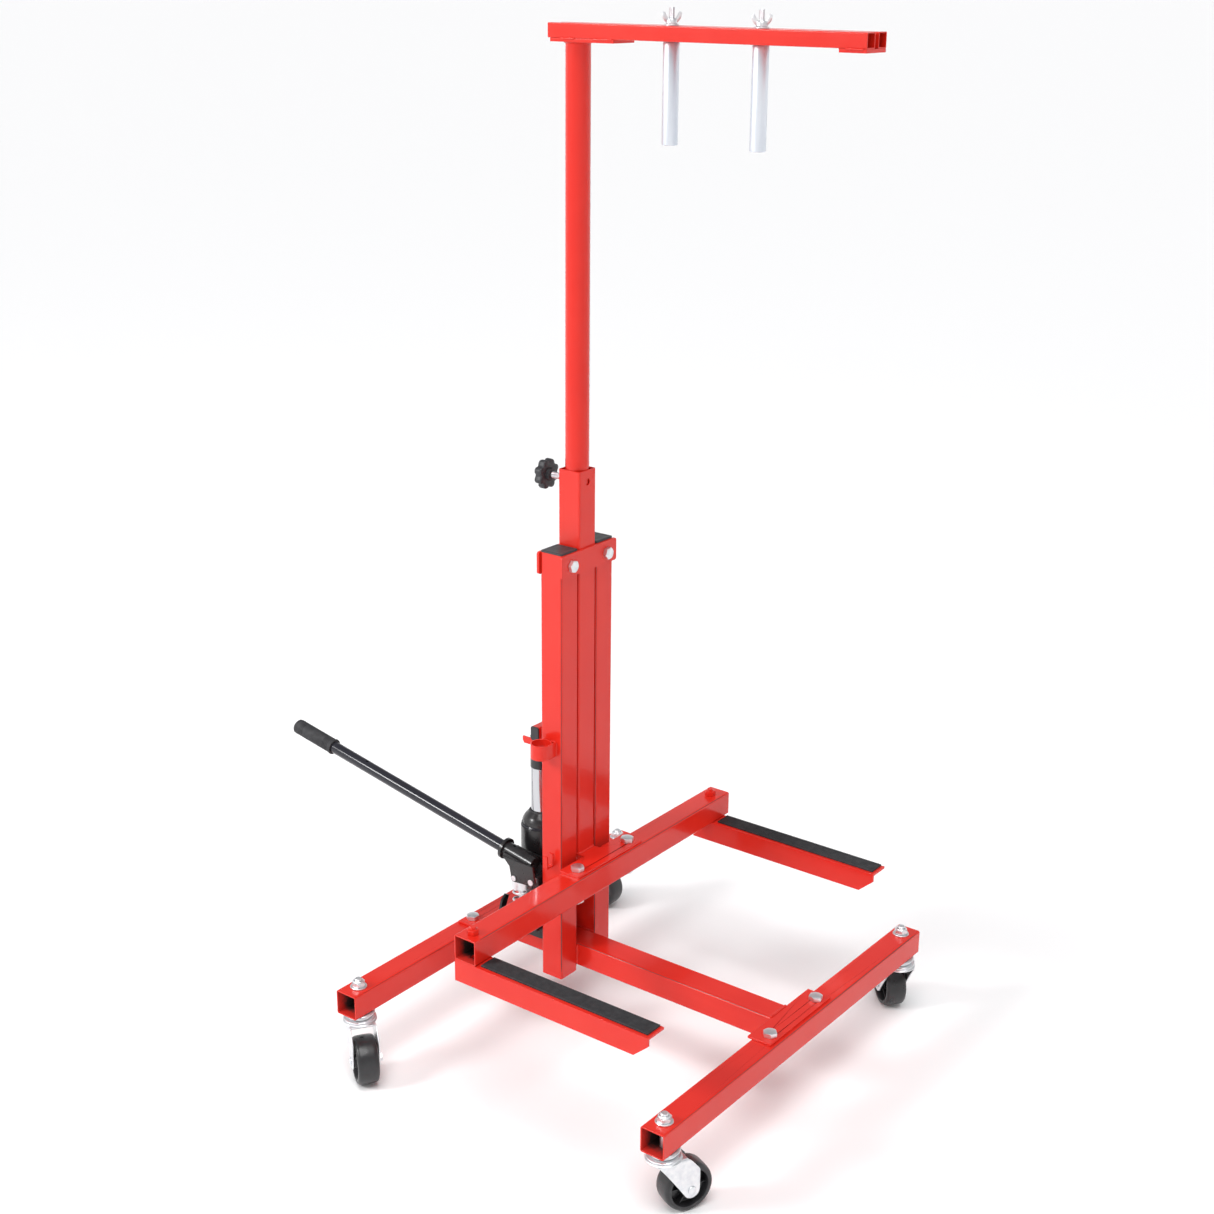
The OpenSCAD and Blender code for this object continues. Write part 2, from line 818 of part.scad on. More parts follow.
module bracket_plugs() {
    wall = 2 * tube_wall + 0.2;
    color(black) placed() for (side = [-1, 1])
        translate([side * tube / 2, crossbar_y, bracket_z + bracket_h / 2])
            rotate([90, 0, 90 * side]) {
                linear_extrude(2.5) rounded_square(crossbar_d, bracket_h, corner_r);
                translate([0, 0, -6]) linear_extrude(6)
                    square([crossbar_d - wall, bracket_h - wall], center = true);
            }
}

// Star knob with its clamp screw
knob_y = 52;

module clamp_knob() {
    color(black) placed() translate([0, knob_y, clamp_z]) rotate([-90, 0, 0]) {
        cylinder(h = 14, r = 19);
        for (i = [0:7]) rotate([0, 0, 45 * i + 22.5])
            translate([17.5, 0, 0]) cylinder(h = 14, r = 6);
        translate([0, 0, -6]) cylinder(h = 6, r = 10);
        translate([0, 0, post_d / 2 + loose - knob_y])
            cylinder(h = knob_y - post_d / 2 - loose + 1, r = 5);
    }
}

// ---- post and top arm ----

module post_glide() {
    side = tube - 2 * mast_wall - 0.4;
    color(black) placed() translate([0, 0, post_bottom - 30]) {
        linear_extrude(30 - loose) rounded_square(side, side, 2);
        cylinder(h = 55, r = post_d / 2 - post_wall - 0.08);
    }
}

module post_tube() {
    color(red) placed() translate([0, 0, post_bottom]) difference() {
        cylinder(h = post_top - post_bottom, d = post_d);
        translate([0, 0, -1]) cylinder(h = post_top, d = post_d - 2 * post_wall);
    }
}

module arm_rails() {
    rail_len = arm_reach + arm_back_y;
    color(red) placed() for (side = [-1, 1])
        translate([side * rail_x, arm_back_y - rail_len / 2, arm_top - rail / 2])
            tube_y(rail_len, rail, rail, rail_wall, 1.6);
}

module arm_plates() {
    color(red) placed() translate([0, 0, arm_top - rail - 5]) {
        translate([-arm_w / 2, -79, 0]) cube([arm_w, 110, 5]);
        translate([-arm_w / 2, -arm_reach, 0]) cube([arm_w, 40, 5]);
    }
}

module hanging_pin(reach) {
    top = arm_top - rail - loose;
    color(zinc) placed() translate([0, -reach, 0]) {
        translate([0, 0, top - pin_len]) cylinder(h = pin_len, d = pin_d);
        translate([0, 0, top - 1]) cylinder(h = rail + stud_over + 1, r = stud_r);
        translate([0, 0, arm_top + 0.1]) difference() {
            cylinder(h = washer_t, r = 10);
            translate([0, 0, -1]) cylinder(h = 4, r = stud_r + 0.2);
        }
    }
}

module rear_pin() { hanging_pin(rear_pin_reach); }
module front_pin() { hanging_pin(front_pin_reach); }

module wing_nut(reach, turn) {
    color(zinc) placed() translate([0, -reach, arm_top + washer_t + 0.4]) rotate([0, 0, turn])
        difference() {
            union() {
                cylinder(h = 7, r1 = 7.5, r2 = 6);
                for (side = [0, 180]) rotate([90, 0, side])
                    linear_extrude(2.6, center = true)
                        polygon([[4, 0.5], [7, 0.5], [13, 9], [13.5, 14], [11, 16.5], [8, 14], [4.5, 7]]);
            }
            translate([0, 0, -1]) cylinder(h = 30, r = stud_r + fit);
        }
}

module rear_wing_nut() { wing_nut(rear_pin_reach, -40); }
module front_wing_nut() { wing_nut(front_pin_reach, -65); }

// ---- output ----

centre_beam();
t_plates();
front_cross_bar();
rear_cross_bar();
t_plate_bolts();
left_upright();
right_upright();
upright_caps();
front_strap();
rear_strap();
strap_bolts();
handle_ring();
handle_hook();
caster_stems();
front_left_fork();
front_left_axle();
front_left_wheel();
front_right_fork();
front_right_axle();
front_right_wheel();
rear_left_fork();
rear_left_axle();
rear_left_wheel();
rear_right_fork();
rear_right_axle();
rear_right_wheel();
jack_base();
jack_body();
jack_cylinder();
jack_top_nut();
jack_ram();
jack_saddle();
pump_cylinder();
pump_plunger();
pump_spring();
fulcrum_pin();
handle_socket();
roller_pin();
release_valve();
jack_handle();
handle_grip();
mast_tube();
lift_plate();
lift_plate_bolts();
lift_bar();
left_fork_arm();
right_fork_arm();
fork_pads();
fork_arm_bolts();
jack_bracket();
bracket_plugs();
clamp_knob();
post_glide();
post_tube();
arm_rails();
arm_plates();
rear_pin();
front_pin();
rear_wing_nut();
front_wing_nut();
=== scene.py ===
import math
import random

import bpy
from mathutils import Matrix, Vector

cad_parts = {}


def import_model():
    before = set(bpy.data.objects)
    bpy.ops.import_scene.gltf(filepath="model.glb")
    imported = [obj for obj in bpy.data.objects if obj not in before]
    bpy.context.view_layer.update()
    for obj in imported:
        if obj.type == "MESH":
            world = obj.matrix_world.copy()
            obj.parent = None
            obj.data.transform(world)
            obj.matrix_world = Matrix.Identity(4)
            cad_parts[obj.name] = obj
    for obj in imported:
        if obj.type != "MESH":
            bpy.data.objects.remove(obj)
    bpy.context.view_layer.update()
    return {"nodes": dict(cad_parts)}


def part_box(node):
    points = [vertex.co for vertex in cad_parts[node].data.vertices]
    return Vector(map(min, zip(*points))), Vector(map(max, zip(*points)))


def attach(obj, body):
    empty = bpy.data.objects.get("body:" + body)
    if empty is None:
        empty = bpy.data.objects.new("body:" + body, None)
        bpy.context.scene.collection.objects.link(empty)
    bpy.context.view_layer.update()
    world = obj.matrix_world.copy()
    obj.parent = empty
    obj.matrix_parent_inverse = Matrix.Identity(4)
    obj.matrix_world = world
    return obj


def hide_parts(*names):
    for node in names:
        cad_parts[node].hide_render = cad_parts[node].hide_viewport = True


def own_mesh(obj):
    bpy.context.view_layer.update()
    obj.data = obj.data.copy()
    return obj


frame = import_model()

# Lengths are in millimetres from the mast's axis on the floor, as in the CAD model's plan, and at()
# turns them into the row frame's metres.
MM = 0.001
MAST_LO, MAST_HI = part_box("mast_tube")
TUBE = 40.0
MAST_X = (MAST_LO.x + MAST_HI.x) / 2
MAST_Y = MAST_LO.y + TUBE / 2 * MM


def at(x, y, z):
    return Vector((MAST_X + x * MM, MAST_Y + y * MM, z * MM))


def size_of(node):
    """A CAD node's box in millimetres from the mast's axis: (lowest corner, highest corner)."""
    shift = Vector((MAST_X, MAST_Y, 0))
    return [(corner - shift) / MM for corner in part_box(node)]


# ---------------------------------------------------------------- materials

def new_material(name):
    m = bpy.data.materials.new(name)
    m.use_nodes = True
    return m, m.node_tree, m.node_tree.nodes["Principled BSDF"]


def add_node(tree, kind, sockets=None, **settings):
    n = tree.nodes.new(kind)
    for key, value in settings.items():
        setattr(n, key, value)
    for key, value in (sockets or {}).items():
        n.inputs[key].default_value = value
    return n


def object_space(tree, stretch=(1, 1, 1)):
    """Object coordinates in metres, stretched so that noise can run along one axis."""
    coord = add_node(tree, "ShaderNodeTexCoord")
    mapping = add_node(tree, "ShaderNodeMapping", {"Scale": stretch})
    tree.links.new(coord.outputs["Object"], mapping.inputs["Vector"])
    return mapping.outputs["Vector"]


def noise(tree, vector, scale, detail=3.0, rough=0.5):
    n = add_node(tree, "ShaderNodeTexNoise", {"Scale": scale, "Detail": detail, "Roughness": rough})
    tree.links.new(vector, n.inputs["Vector"])
    return n.outputs["Fac"]


def ramp(tree, value, stops):
    n = add_node(tree, "ShaderNodeValToRGB")
    band = n.color_ramp
    while len(band.elements) < len(stops):
        band.elements.new(0.5)
    for element, (place, colour) in zip(band.elements, stops):
        element.position = place
        element.color = (*colour, 1)
    tree.links.new(value, n.inputs["Fac"])
    return n.outputs["Color"]


def to_range(tree, value, low, high, low_in=0.3, high_in=0.7):
    n = add_node(tree, "ShaderNodeMapRange", {1: low_in, 2: high_in, 3: low, 4: high})
    tree.links.new(value, n.inputs[0])
    return n.outputs[0]


def bump(tree, bsdf, height, strength, distance, after=None):
    n = add_node(tree, "ShaderNodeBump", {"Strength": strength, "Distance": distance})
    tree.links.new(height, n.inputs["Height"])
    if after is not None:
        tree.links.new(after, n.inputs["Normal"])
    tree.links.new(n.outputs["Normal"], bsdf.inputs["Normal"])
    return n.outputs["Normal"]


def surface(name, colours, colour_scale, roughness, rough_scale, metallic=0.0, bumps=(),
            stretch=(1, 1, 1), coat=0.0, coat_roughness=0.05, specular=0.5):
    """A Principled material whose colour and roughness vary with noise and whose bumps are
    (scale, strength, depth in metres)."""
    m, tree, bsdf = new_material(name)
    space = object_space(tree, stretch)
    tree.links.new(
        ramp(tree, noise(tree, space, colour_scale, 4), [(0.32, colours[0]), (0.68, colours[1])]),
        bsdf.inputs["Base Color"])
    tree.links.new(
        to_range(tree, noise(tree, space, rough_scale, 4), roughness[0], roughness[1]),
        bsdf.inputs["Roughness"])
    bsdf.inputs["Metallic"].default_value = metallic
    bsdf.inputs["Specular IOR Level"].default_value = specular
    bsdf.inputs["Coat Weight"].default_value = coat
    bsdf.inputs["Coat Roughness"].default_value = coat_roughness
    last = None
    for scale, strength, depth in bumps:
        last = bump(tree, bsdf, noise(tree, space, scale, 3), strength, depth, last)
    m.diffuse_color = (*colours[1], 1)
    return m


RED = surface("red_paint", [(0.64, 0.017, 0.009), (0.68, 0.023, 0.012)], 7, (0.20, 0.27), 14,
              bumps=[(420, 0.03, 0.00015), (45, 0.03, 0.0005)], coat=0.28, coat_roughness=0.08,
              specular=0.25)
ZINC = surface("zinc_plate", [(0.70, 0.72, 0.75), (0.84, 0.85, 0.86)], 120, (0.34, 0.48), 160,
               metallic=1.0, bumps=[(700, 0.10, 0.0001)])
DRAWN = surface("zinc_drawn", [(0.62, 0.66, 0.73), (0.76, 0.79, 0.84)], 90, (0.36, 0.50), 140,
                metallic=1.0, bumps=[(500, 0.12, 0.0001)], stretch=(1, 1, 0.08))
CHROME = surface("chrome", [(0.50, 0.51, 0.53), (0.60, 0.60, 0.62)], 60, (0.07, 0.15), 200,
                 metallic=1.0, bumps=[(900, 0.04, 0.00005)], stretch=(1, 1, 0.15))
CAST = surface("black_cast", [(0.007, 0.006, 0.007), (0.016, 0.015, 0.016)], 60, (0.24, 0.38), 90,
               bumps=[(420, 0.16, 0.0003), (120, 0.10, 0.0006)], coat=0.35, coat_roughness=0.12,
               specular=0.4)
BLACK = surface("black_paint", [(0.017, 0.017, 0.023), (0.022, 0.022, 0.029)], 40, (0.14, 0.20), 60,
                bumps=[(60, 0.01, 0.0001)], coat=0.15, coat_roughness=0.05, specular=0.32)
PLASTIC = surface("black_plastic", [(0.018, 0.018, 0.021), (0.030, 0.030, 0.034)], 60, (0.40, 0.52),
                  120, bumps=[(900, 0.12, 0.0001)])
WHEEL = surface("black_wheel", [(0.012, 0.012, 0.013), (0.024, 0.024, 0.026)], 45, (0.26, 0.42), 70,
                bumps=[(260, 0.06, 0.0002)])
RUBBER = surface("rubber", [(0.014, 0.014, 0.016), (0.028, 0.028, 0.031)], 90, (0.55, 0.72), 140,
                 bumps=[(1100, 0.2, 0.0001)])


# Deeper in than this, a tube's inside is dark: bare steel, plus painted shade for the light that
# falls off inside.
RED_DEPTH_IN_TUBE = 0.022  # metres that the paint reaches into a tube


def inside_steel_and_shade(name, axis, ends):
    """Inside a tube the spray only reaches a little way in from the ends; deeper in it is dark bare
    steel, darkened further as painted shade where light falls off inside the tube.
    """
    m, tree, bsdf = new_material(name)
    space = object_space(tree)
    split = add_node(tree, "ShaderNodeSeparateXYZ")
    tree.links.new(space, split.inputs["Vector"])
    along = split.outputs["XYZ".index(axis)]
    rough_edge = to_range(tree, noise(tree, space, 140, 3), -0.004, 0.004)
    moved = add_node(tree, "ShaderNodeMath", operation="ADD")
    tree.links.new(along, moved.inputs[0])
    tree.links.new(rough_edge, moved.inputs[1])
    fade = RED_DEPTH_IN_TUBE * 0.4
    low = to_range(tree, moved.outputs[0], 1, 0, ends[0] + fade, ends[0] + RED_DEPTH_IN_TUBE)
    high = to_range(tree, moved.outputs[0], 0, 1, ends[1] - RED_DEPTH_IN_TUBE, ends[1] - fade)
    near = add_node(tree, "ShaderNodeMath", operation="MAXIMUM")
    tree.links.new(low, near.inputs[0])
    tree.links.new(high, near.inputs[1])
    # Painted shade: the dark end of this ramp stands for bare steel and for the shade deep inside
    # the tube.
    tree.links.new(
        ramp(tree, near.outputs[0], [(0.0, (0.035, 0.028, 0.025)), (1.0, (0.56, 0.02, 0.012))]),
        bsdf.inputs["Base Color"])
    tree.links.new(to_range(tree, noise(tree, space, 60, 3), 0.5, 0.65), bsdf.inputs["Roughness"])
    bump(tree, bsdf, noise(tree, space, 300, 3), 0.2, 0.0003)
    return m


# ---------------------------------------------------------------- mesh building

class Shape:
    """Collects vertices (millimetres from the mast's axis) and faces for one piece."""

    def __init__(self):
        self.verts, self.faces = [], []

    def add(self, verts, faces, matrix=None):
        start = len(self.verts)
        self.verts += [(matrix @ Vector(v)) if matrix else Vector(v) for v in verts]
        self.faces += [[start + i for i in f] for f in faces]

    def rings(self, rings, matrix=None, closed=False, caps=True):
        """Quads between rings of equally many points; a cap face closes each end."""
        count = len(rings[0])
        verts = [p for ring in rings for p in ring]
        faces = []
        last = len(rings) if closed else len(rings) - 1
        for i in range(last):
            k = (i + 1) % len(rings)
            for j in range(count):
                n = (j + 1) % count
                faces.append([i * count + j, i * count + n, k * count + n, k * count + j])
        if caps and not closed:
            faces.append(list(range(count))[::-1])
            faces.append([(len(rings) - 1) * count + j for j in range(count)])
        self.add(verts, faces, matrix)

    def lathe(self, profile, matrix=None, segments=48, closed=False):
        """Turns (radius, height) points about Z. A closed profile makes a ring."""
        rings = []
        for r, z in profile:
            ring = []
            for j in range(segments):
                a = 2 * math.pi * j / segments
                ring.append((r * math.cos(a), r * math.sin(a), z))
            rings.append(ring)
        self.rings(rings, matrix, closed, caps=not closed)

    def hex_head(self, af, low, high, matrix=None, chamfer=30, under=0.0, hole=0.0, turn=0.0):
        """Hexagon across flats af with a conical chamfer on top, and below if under is set."""
        count = 48
        top_r = af / 2 * 0.96
        slope = math.tan(math.radians(chamfer))
        rings = [[], [], [], []]
        for j in range(count):
            a = 2 * math.pi * j / count
            off = (a + math.pi / 6) % (math.pi / 3) - math.pi / 6
            r = af / 2 / math.cos(off)
            drop = max(0.0, r - top_r) * slope
            c, s = math.cos(a + turn), math.sin(a + turn)
            rings[0].append((top_r * c, top_r * s, low) if under else (r * c, r * s, low))
            rings[1].append((r * c, r * s, low + (drop if under else 0.01)))
            rings[2].append((r * c, r * s, high - drop))
            rings[3].append((top_r * c, top_r * s, high))
        if hole:
            inner = [[(hole * math.cos(2 * math.pi * j / count + turn),
                       hole * math.sin(2 * math.pi * j / count + turn), z) for j in range(count)]
                     for z in (high, low)]
            self.rings(rings + inner, matrix, closed=True)
        else:
            self.rings(rings, matrix)

    def thread(self, r, low, high, matrix=None, pitch=1.5, depth=0.7, segments=28):
        """A threaded rod with a chamfered end at high."""
        steps = max(2, round((high - low) / pitch * 5))
        rings = []
        for i in range(steps + 1):
            z = low + (high - low) * i / steps
            ring = []
            for j in range(segments):
                turn = (z / pitch - j / segments) % 1
                cut = depth * abs(2 * turn - 1)
                rr = r - cut
                rr = min(rr, r - depth * 1.3 + (high - z) * 0.8)
                a = 2 * math.pi * j / segments
                ring.append((rr * math.cos(a), rr * math.sin(a), z))
            rings.append(ring)
        self.rings(rings, matrix)

    def sweep(self, path, radius, segments=12, closed=False):
        """A tube along points; radius is a number or a function of the point's index."""
        points = [Vector(p) for p in path]
        count = len(points)
        normal = None
        rings = []
        for i, p in enumerate(points):
            before = points[i - 1] if (i or closed) else points[i]
            after = points[(i + 1) % count] if (closed or i + 1 < count) else points[i]
            tangent = (after - before).normalized()
            if normal is None:
                helper = Vector((0, 0, 1)) if abs(tangent.z) < 0.9 else Vector((1, 0, 0))
                normal = tangent.cross(helper).normalized()
            normal = (normal - tangent * normal.dot(tangent)).normalized()
            side = tangent.cross(normal)
            r = radius(i) if callable(radius) else radius
            rings.append([p + (normal * math.cos(a) + side * math.sin(a)) * r
                          for a in (2 * math.pi * j / segments for j in range(segments))])
        self.rings(rings, None, closed)

    def piece(self, name, body, material, replaces=(), smooth=35, bevel=0.0, bevel_steps=2):
        mesh = bpy.data.meshes.new(name)
        mesh.from_pydata([at(*v) for v in self.verts], [], self.faces)
        mesh.validate()
        obj = bpy.data.objects.new(name, mesh)
        bpy.context.scene.collection.objects.link(obj)
        clean_normals(mesh)
        mesh.shade_smooth()
        if bevel:
            round_edges(obj, bevel, bevel_steps)
        else:
            mesh.set_sharp_from_angle(angle=math.radians(smooth))
        obj.data.materials.append(material)
        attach(obj, body)
        if replaces:
            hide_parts(*replaces)
        return obj


def clean_normals(mesh):
    import bmesh
    work = bmesh.new()
    work.from_mesh(mesh)
    bmesh.ops.recalc_face_normals(work, faces=work.faces)
    work.to_mesh(mesh)
    work.free()


def round_edges(obj, width, steps=2, angle=32):
    weld = obj.modifiers.new("weld", "WELD")
    weld.merge_threshold = 0.000002
    bevel = obj.modifiers.new("edges", "BEVEL")
    bevel.width = width * MM
    bevel.segments = steps
    bevel.limit_method = "ANGLE"
    bevel.angle_limit = math.radians(angle)
    bevel.use_clamp_overlap = True
    bevel.miter_outer = "MITER_ARC"
    # Flat faces keep their own normal up to the rounded edges
    weighted = obj.modifiers.new("normals", "WEIGHTED_NORMAL")
    weighted.mode = "FACE_AREA"
    weighted.weight = 100


def turn_to(direction, place=(0, 0, 0)):
    """Matrix that puts local +Z along direction, at place."""
    m = Vector(direction).to_track_quat("Z", "Y").to_matrix().to_4x4()
    m.translation = Vector(place)
    return m


random.seed(7)


def bead_radius(base, count, pitch=2.2, length=100.0):
    """Radii along a weld: the ripples of each puddle, with a little unevenness."""
    wobble = [random.uniform(-0.12, 0.12) for _ in range(count + 1)]

    def radius(i):
        s = length * i / max(1, count - 1)
        ripple = 0.14 * abs(math.sin(math.pi * s / pitch))
        ends = min(1.0, 0.55 + min(i, count - 1 - i) * 0.25)
        return base * (0.86 + ripple + wobble[i]) * ends
    return radius


def weld(shape, path, base=2.0):
    """Lays a bead along straight runs between the given corners."""
    corners = [Vector(p) for p in path]
    points = []
    for a, b in zip(corners, corners[1:]):
        steps = max(2, round((b - a).length / 0.9))
        points += [a.lerp(b, k / steps) for k in range(steps)]
    points.append(corners[-1])
    length = sum((b - a).length for a, b in zip(points, points[1:]))
    shape.sweep(points, bead_radius(base, len(points), length=length), 8)


# ---------------------------------------------------------------- CAD nodes that stay

NODES = frame["nodes"]


def dress(names, material, bevel=0.6, steps=2, angle=32):
    """Gives CAD nodes their material and rounds their edges with modifiers."""
    for name in names:
        obj = NODES[name]
        obj.data.materials.clear()
        obj.data.materials.append(material)
        for polygon in obj.data.polygons:
            polygon.use_smooth = True
            polygon.material_index = 0
        round_edges(obj, bevel, steps, angle)


def dress_tube(name, axis):
    """The walls inside a tube along axis get the inside material, dark deeper in for bare steel and
    painted shade; the rest keeps the paint.
    """
    obj = NODES[name]
    low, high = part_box(name)
    k = "XYZ".index(axis)
    obj.data.materials.append(inside_steel_and_shade("inside_" + name, axis, (low[k], high[k])))
    across = [i for i in range(3) if i != k]
    skin = 0.0006  # closer than this to the tube's box, a face is on the outside
    for polygon in obj.data.polygons:
        c = polygon.center
        edge = min(min(c[i] - low[i], high[i] - c[i]) for i in across)
        if edge > skin and abs(polygon.normal[k]) < 0.5:
            polygon.material_index = 1


dress(["centre_beam", "front_cross_bar", "rear_cross_bar", "left_upright", "right_upright",
       "lift_bar", "mast_tube"], RED, 0.35, 2, 40)
dress(["t_plates", "front_strap", "rear_strap", "lift_plate", "arm_plates", "left_fork_arm",
       "right_fork_arm", "handle_hook", "handle_ring"], RED, 0.7, 3)
dress(["arm_rails", "jack_bracket", "post_tube"], RED, 0.35, 2, 40)
dress(["jack_base"], CAST, 2.0, 4)
dress(["handle_socket"], CAST, 1.1, 3, 28)
dress(["jack_body", "release_valve", "jack_top_nut", "jack_saddle"], CAST, 0.8, 3)
dress(["jack_handle"], BLACK, 0.3, 2)
dress(["jack_ram"], CHROME, 0.4, 2)
dress(["jack_cylinder", "pump_cylinder", "pump_plunger", "fulcrum_pin", "roller_pin"], ZINC, 0.5, 3)
dress(["post_glide"], PLASTIC, 0.5, 2)
for tube_name in ("front_cross_bar", "rear_cross_bar", "lift_bar"):
    dress_tube(tube_name, "X")
dress_tube("centre_beam", "Y")
for tube_name in ("left_upright", "right_upright"):
    dress_tube(tube_name, "Z")

# ---------------------------------------------------------------- sizes shared by the new pieces

BAR_TOP = 146.0
BEAM_TOP = 150.0
FRONT_BAR_Y = -414.0
REAR_BAR_Y = 166.0
PLATE_BOLT_X = 64.5
UPRIGHT_X = 43.0
STEM_X = 332.0
LIFT_BAR_Y = -53.0
LIFT_BAR_TOP = 303.5
JACK_Y = 72.0
CROSSBAR_Y = 67.0
BRACKET_Z = 480.0
PUMP_X, PUMP_Y = -57.0, 66.0
ARM_TOP = 1565.0
ARM_UNDER = ARM_TOP - 20.3
STRAP_FACE_Y = -24.0
STRAP_BOLT_Z = 793.0
UPRIGHT_TOP = 812.0
CLAMP_Z = 913.0
FORK_BOLTS_X = (-311.0, 302.0)
REAR_PIN_Y, FRONT_PIN_Y = -158.0, -300.0

# ---------------------------------------------------------------- bolts


def washer(shape, place, direction, inner, outer, thick):
    shape.lathe([(inner, 0), (outer - 0.3, 0), (outer, 0.3), (outer, thick - 0.3),
                 (outer - 0.3, thick), (inner, thick)], turn_to(direction, place), 40, closed=True)


def hex_bolt(shape, place, direction, r, af, head, grip, nut, turn=0.0, tail=3.0):
    """Head at place standing along direction, threaded end the other way, with a nut."""
    up = turn_to(direction, place)
    shape.lathe([(r, 0), (af * 0.475, 0), (af * 0.475, 0.5), (r, 0.5)], up, 40, closed=True)
    shape.hex_head(af, 0.5, head, up, turn=turn)
    dish = af / 2 * 0.80
    shape.lathe([(dish, head - 0.02), (dish - 0.5, head + 0.22), (dish * 0.4, head + 0.3),
                 (0.01, head + 0.3)], up, 40)
    down = turn_to(-Vector(direction), place)
    shape.hex_head(af, grip, grip + nut, down, under=1, hole=r * 0.9, turn=turn + 0.4)
    shape.thread(r - 0.1, grip - 1, grip + nut + tail, down, pitch=1.75 if r > 5.5 else 1.5)


def base_bolts():
    shape = Shape()
    turns = iter((0.2, 0.75, 0.5, 0.1))
    for y in (FRONT_BAR_Y, REAR_BAR_Y):
        for x in (-PLATE_BOLT_X, PLATE_BOLT_X):
            hex_bolt(shape, (x, y, BEAM_TOP), (0, 0, 1), 6, 19, 7.5, 44, 10, next(turns))
    shape.piece("base_bolts", "base", ZINC, ["t_plate_bolts"])


def lift_bolts():
    shape = Shape()
    for x, turn in ((-PLATE_BOLT_X, 0.35), (PLATE_BOLT_X, 0.9)):
        hex_bolt(shape, (x, LIFT_BAR_Y, LIFT_BAR_TOP + 4), (0, 0, 1), 6, 19, 7.5, 44, 10, turn)
    shape.piece("lift_bolts", "carriage", ZINC, ["lift_plate_bolts"])


def top_strap_bolts():
    shape = Shape()
    for x, turn in ((-UPRIGHT_X, 0.3), (UPRIGHT_X, 0.65)):
        hex_bolt(shape, (x, STRAP_FACE_Y, STRAP_BOLT_Z), (0, -1, 0), 5, 17, 6.5, 48, 8, turn)
    shape.piece("column_bolts", "base", ZINC, ["strap_bolts"])


def painted_arm_bolts():
    """The fork arms' bolts were painted with the lift bar."""
    shape = Shape()
    for x, turn in zip(FORK_BOLTS_X, (0.25, 0.6)):
        up = turn_to((0, 0, 1), (x, LIFT_BAR_Y, LIFT_BAR_TOP))
        shape.hex_head(16, 0, 8, up, under=1, hole=4.5, turn=turn)
        shape.thread(4.9, -1, 11.8, up, pitch=1.5, depth=0.5)
        down = turn_to((0, 0, -1), (x, LIFT_BAR_Y, LIFT_BAR_TOP - TUBE - 4))
        shape.hex_head(16, 0, 6, down, turn=turn)
    shape.piece("arm_bolts", "carriage", RED, ["fork_arm_bolts"])


# ---------------------------------------------------------------- casters

WHEEL_R = 38.0
TRAIL = 34.0
CASTERS = {
    "front_left": (-STEM_X, FRONT_BAR_Y, -25),
    "front_right": (STEM_X, FRONT_BAR_Y, 50),
    "rear_left": (-STEM_X, REAR_BAR_Y, 235),
    "rear_right": (STEM_X, REAR_BAR_Y, 90),
}


def caster_frame(name):
    x, y, turn = CASTERS[name]
    return Matrix.Translation((x, y, 0)) @ Matrix.Rotation(math.radians(turn), 4, "Z")


def stems():
    """Upper race, washer and lock nut of each caster; the rod's thread shows above the nut."""
    shape = Shape()
    for name in CASTERS:
        m = caster_frame(name)
        shape.lathe([(6, 106), (20, 106), (23.2, 105.2), (24, 104.2), (23.6, 102.9), (21, 102.1),
                     (19, 101.6), (18.7, 100.0), (19.6, 98.6), (19.8, 97.6), (19.2, 97.1),
                     (6, 97.1)], m, 56, closed=True)
        shape.lathe([(5.9, 80), (5.9, 150)], m, 24)
        up = m @ Matrix.Translation((0, 0, BAR_TOP))
        shape.lathe([(6.2, 0), (12.6, 0), (13, 0.5), (13, 1.9), (12.6, 2.4), (6.2, 2.5)], up, 48,
                    closed=True)
        shape.hex_head(19, 2.5, 9.6, up, under=1, hole=6.1, turn=0.3)
        shape.lathe([(8.9, 9.2), (8.7, 10.6), (7.9, 11.7), (6.9, 12.0), (6.3, 11.6), (6.2, 9.2)],
                    up, 48, closed=True)
        shape.thread(5.95, 2, 14.8, up, pitch=1.75, depth=0.8)
    shape.piece("caster_mounts", "base", ZINC, ["caster_stems"], smooth=38)


def leg_reach(z):
    """Back and front edge of a fork leg at height z, from the stem's axis."""
    axle, r = WHEEL_R, 13.0
    shoulder, back_top, front_top = 93.0, -22.0, 25.0
    toe = axle - 9.4
    if z >= shoulder:
        return back_top, front_top
    lean = (shoulder - z) / (shoulder - toe)
    back = back_top + lean ** 0.92 * (TRAIL - 9 - back_top)
    front = front_top + min(1.0, (shoulder - z) / 24) ** 0.8 * (TRAIL + r - front_top)
    if z < axle + 2:
        half = math.sqrt(max(0.0, r * r - (z - axle) ** 2)) if z < axle else r
        front = TRAIL + half
        if z < toe + 6:
            back = max(back, TRAIL - half)
    return back, front


